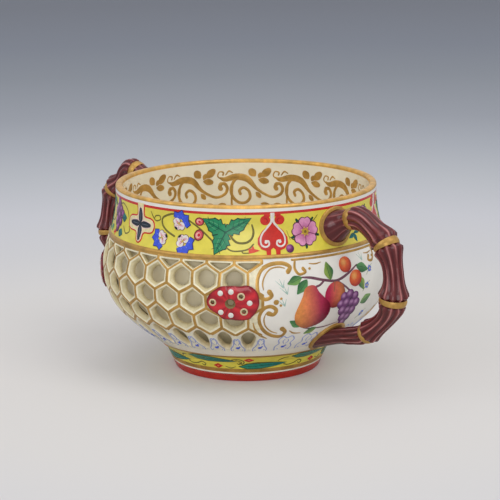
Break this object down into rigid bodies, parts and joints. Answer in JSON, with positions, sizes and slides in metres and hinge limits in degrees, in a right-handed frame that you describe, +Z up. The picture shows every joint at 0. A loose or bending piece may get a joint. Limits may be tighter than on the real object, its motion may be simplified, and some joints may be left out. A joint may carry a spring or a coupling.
{
  "type": "double-walled cup",
  "caption": "Round double-walled porcelain cup with a pierced honeycomb outer wall, a painted collar, bamboo handles on two sides and a low foot.",
  "frame": {"origin": "centre of the flat foot that the cup stands on", "axes": "+Z up out of the mouth, X through the two handles, the pierced panels face -Y and +Y"},
  "size_m": [0.1548, 0.1024, 0.067],
  "materials": {
    "white_glaze": "clear glaze over white porcelain, with a yellow enamelled band and gilding",
    "ivory_glaze": "ivory-tinted glaze on a pierced porcelain wall, with gilt bars",
    "red_enamel": "glossy red enamel",
    "crimson_enamel": "glossy crimson enamel with white dots",
    "maroon_glaze": "glossy maroon-brown enamel, streaked along the stem, with gilt rings",
    "gilding": "soft burnished gold fired on the glaze",
    "painted_enamel": "thin coloured enamels fired on the glaze"
  },
  "bodies": {
    "root": {"inner_cup": "white_glaze", "pierced_outer_wall": "ivory_glaze", "foot_ring": "red_enamel", "rosette_front_right": "crimson_enamel", "rosette_back_right": "crimson_enamel", "rosette_back_left": "crimson_enamel", "rosette_front_left": "crimson_enamel", "handle_right": "maroon_glaze", "handle_left": "maroon_glaze"}
  },
  "joints": []
}
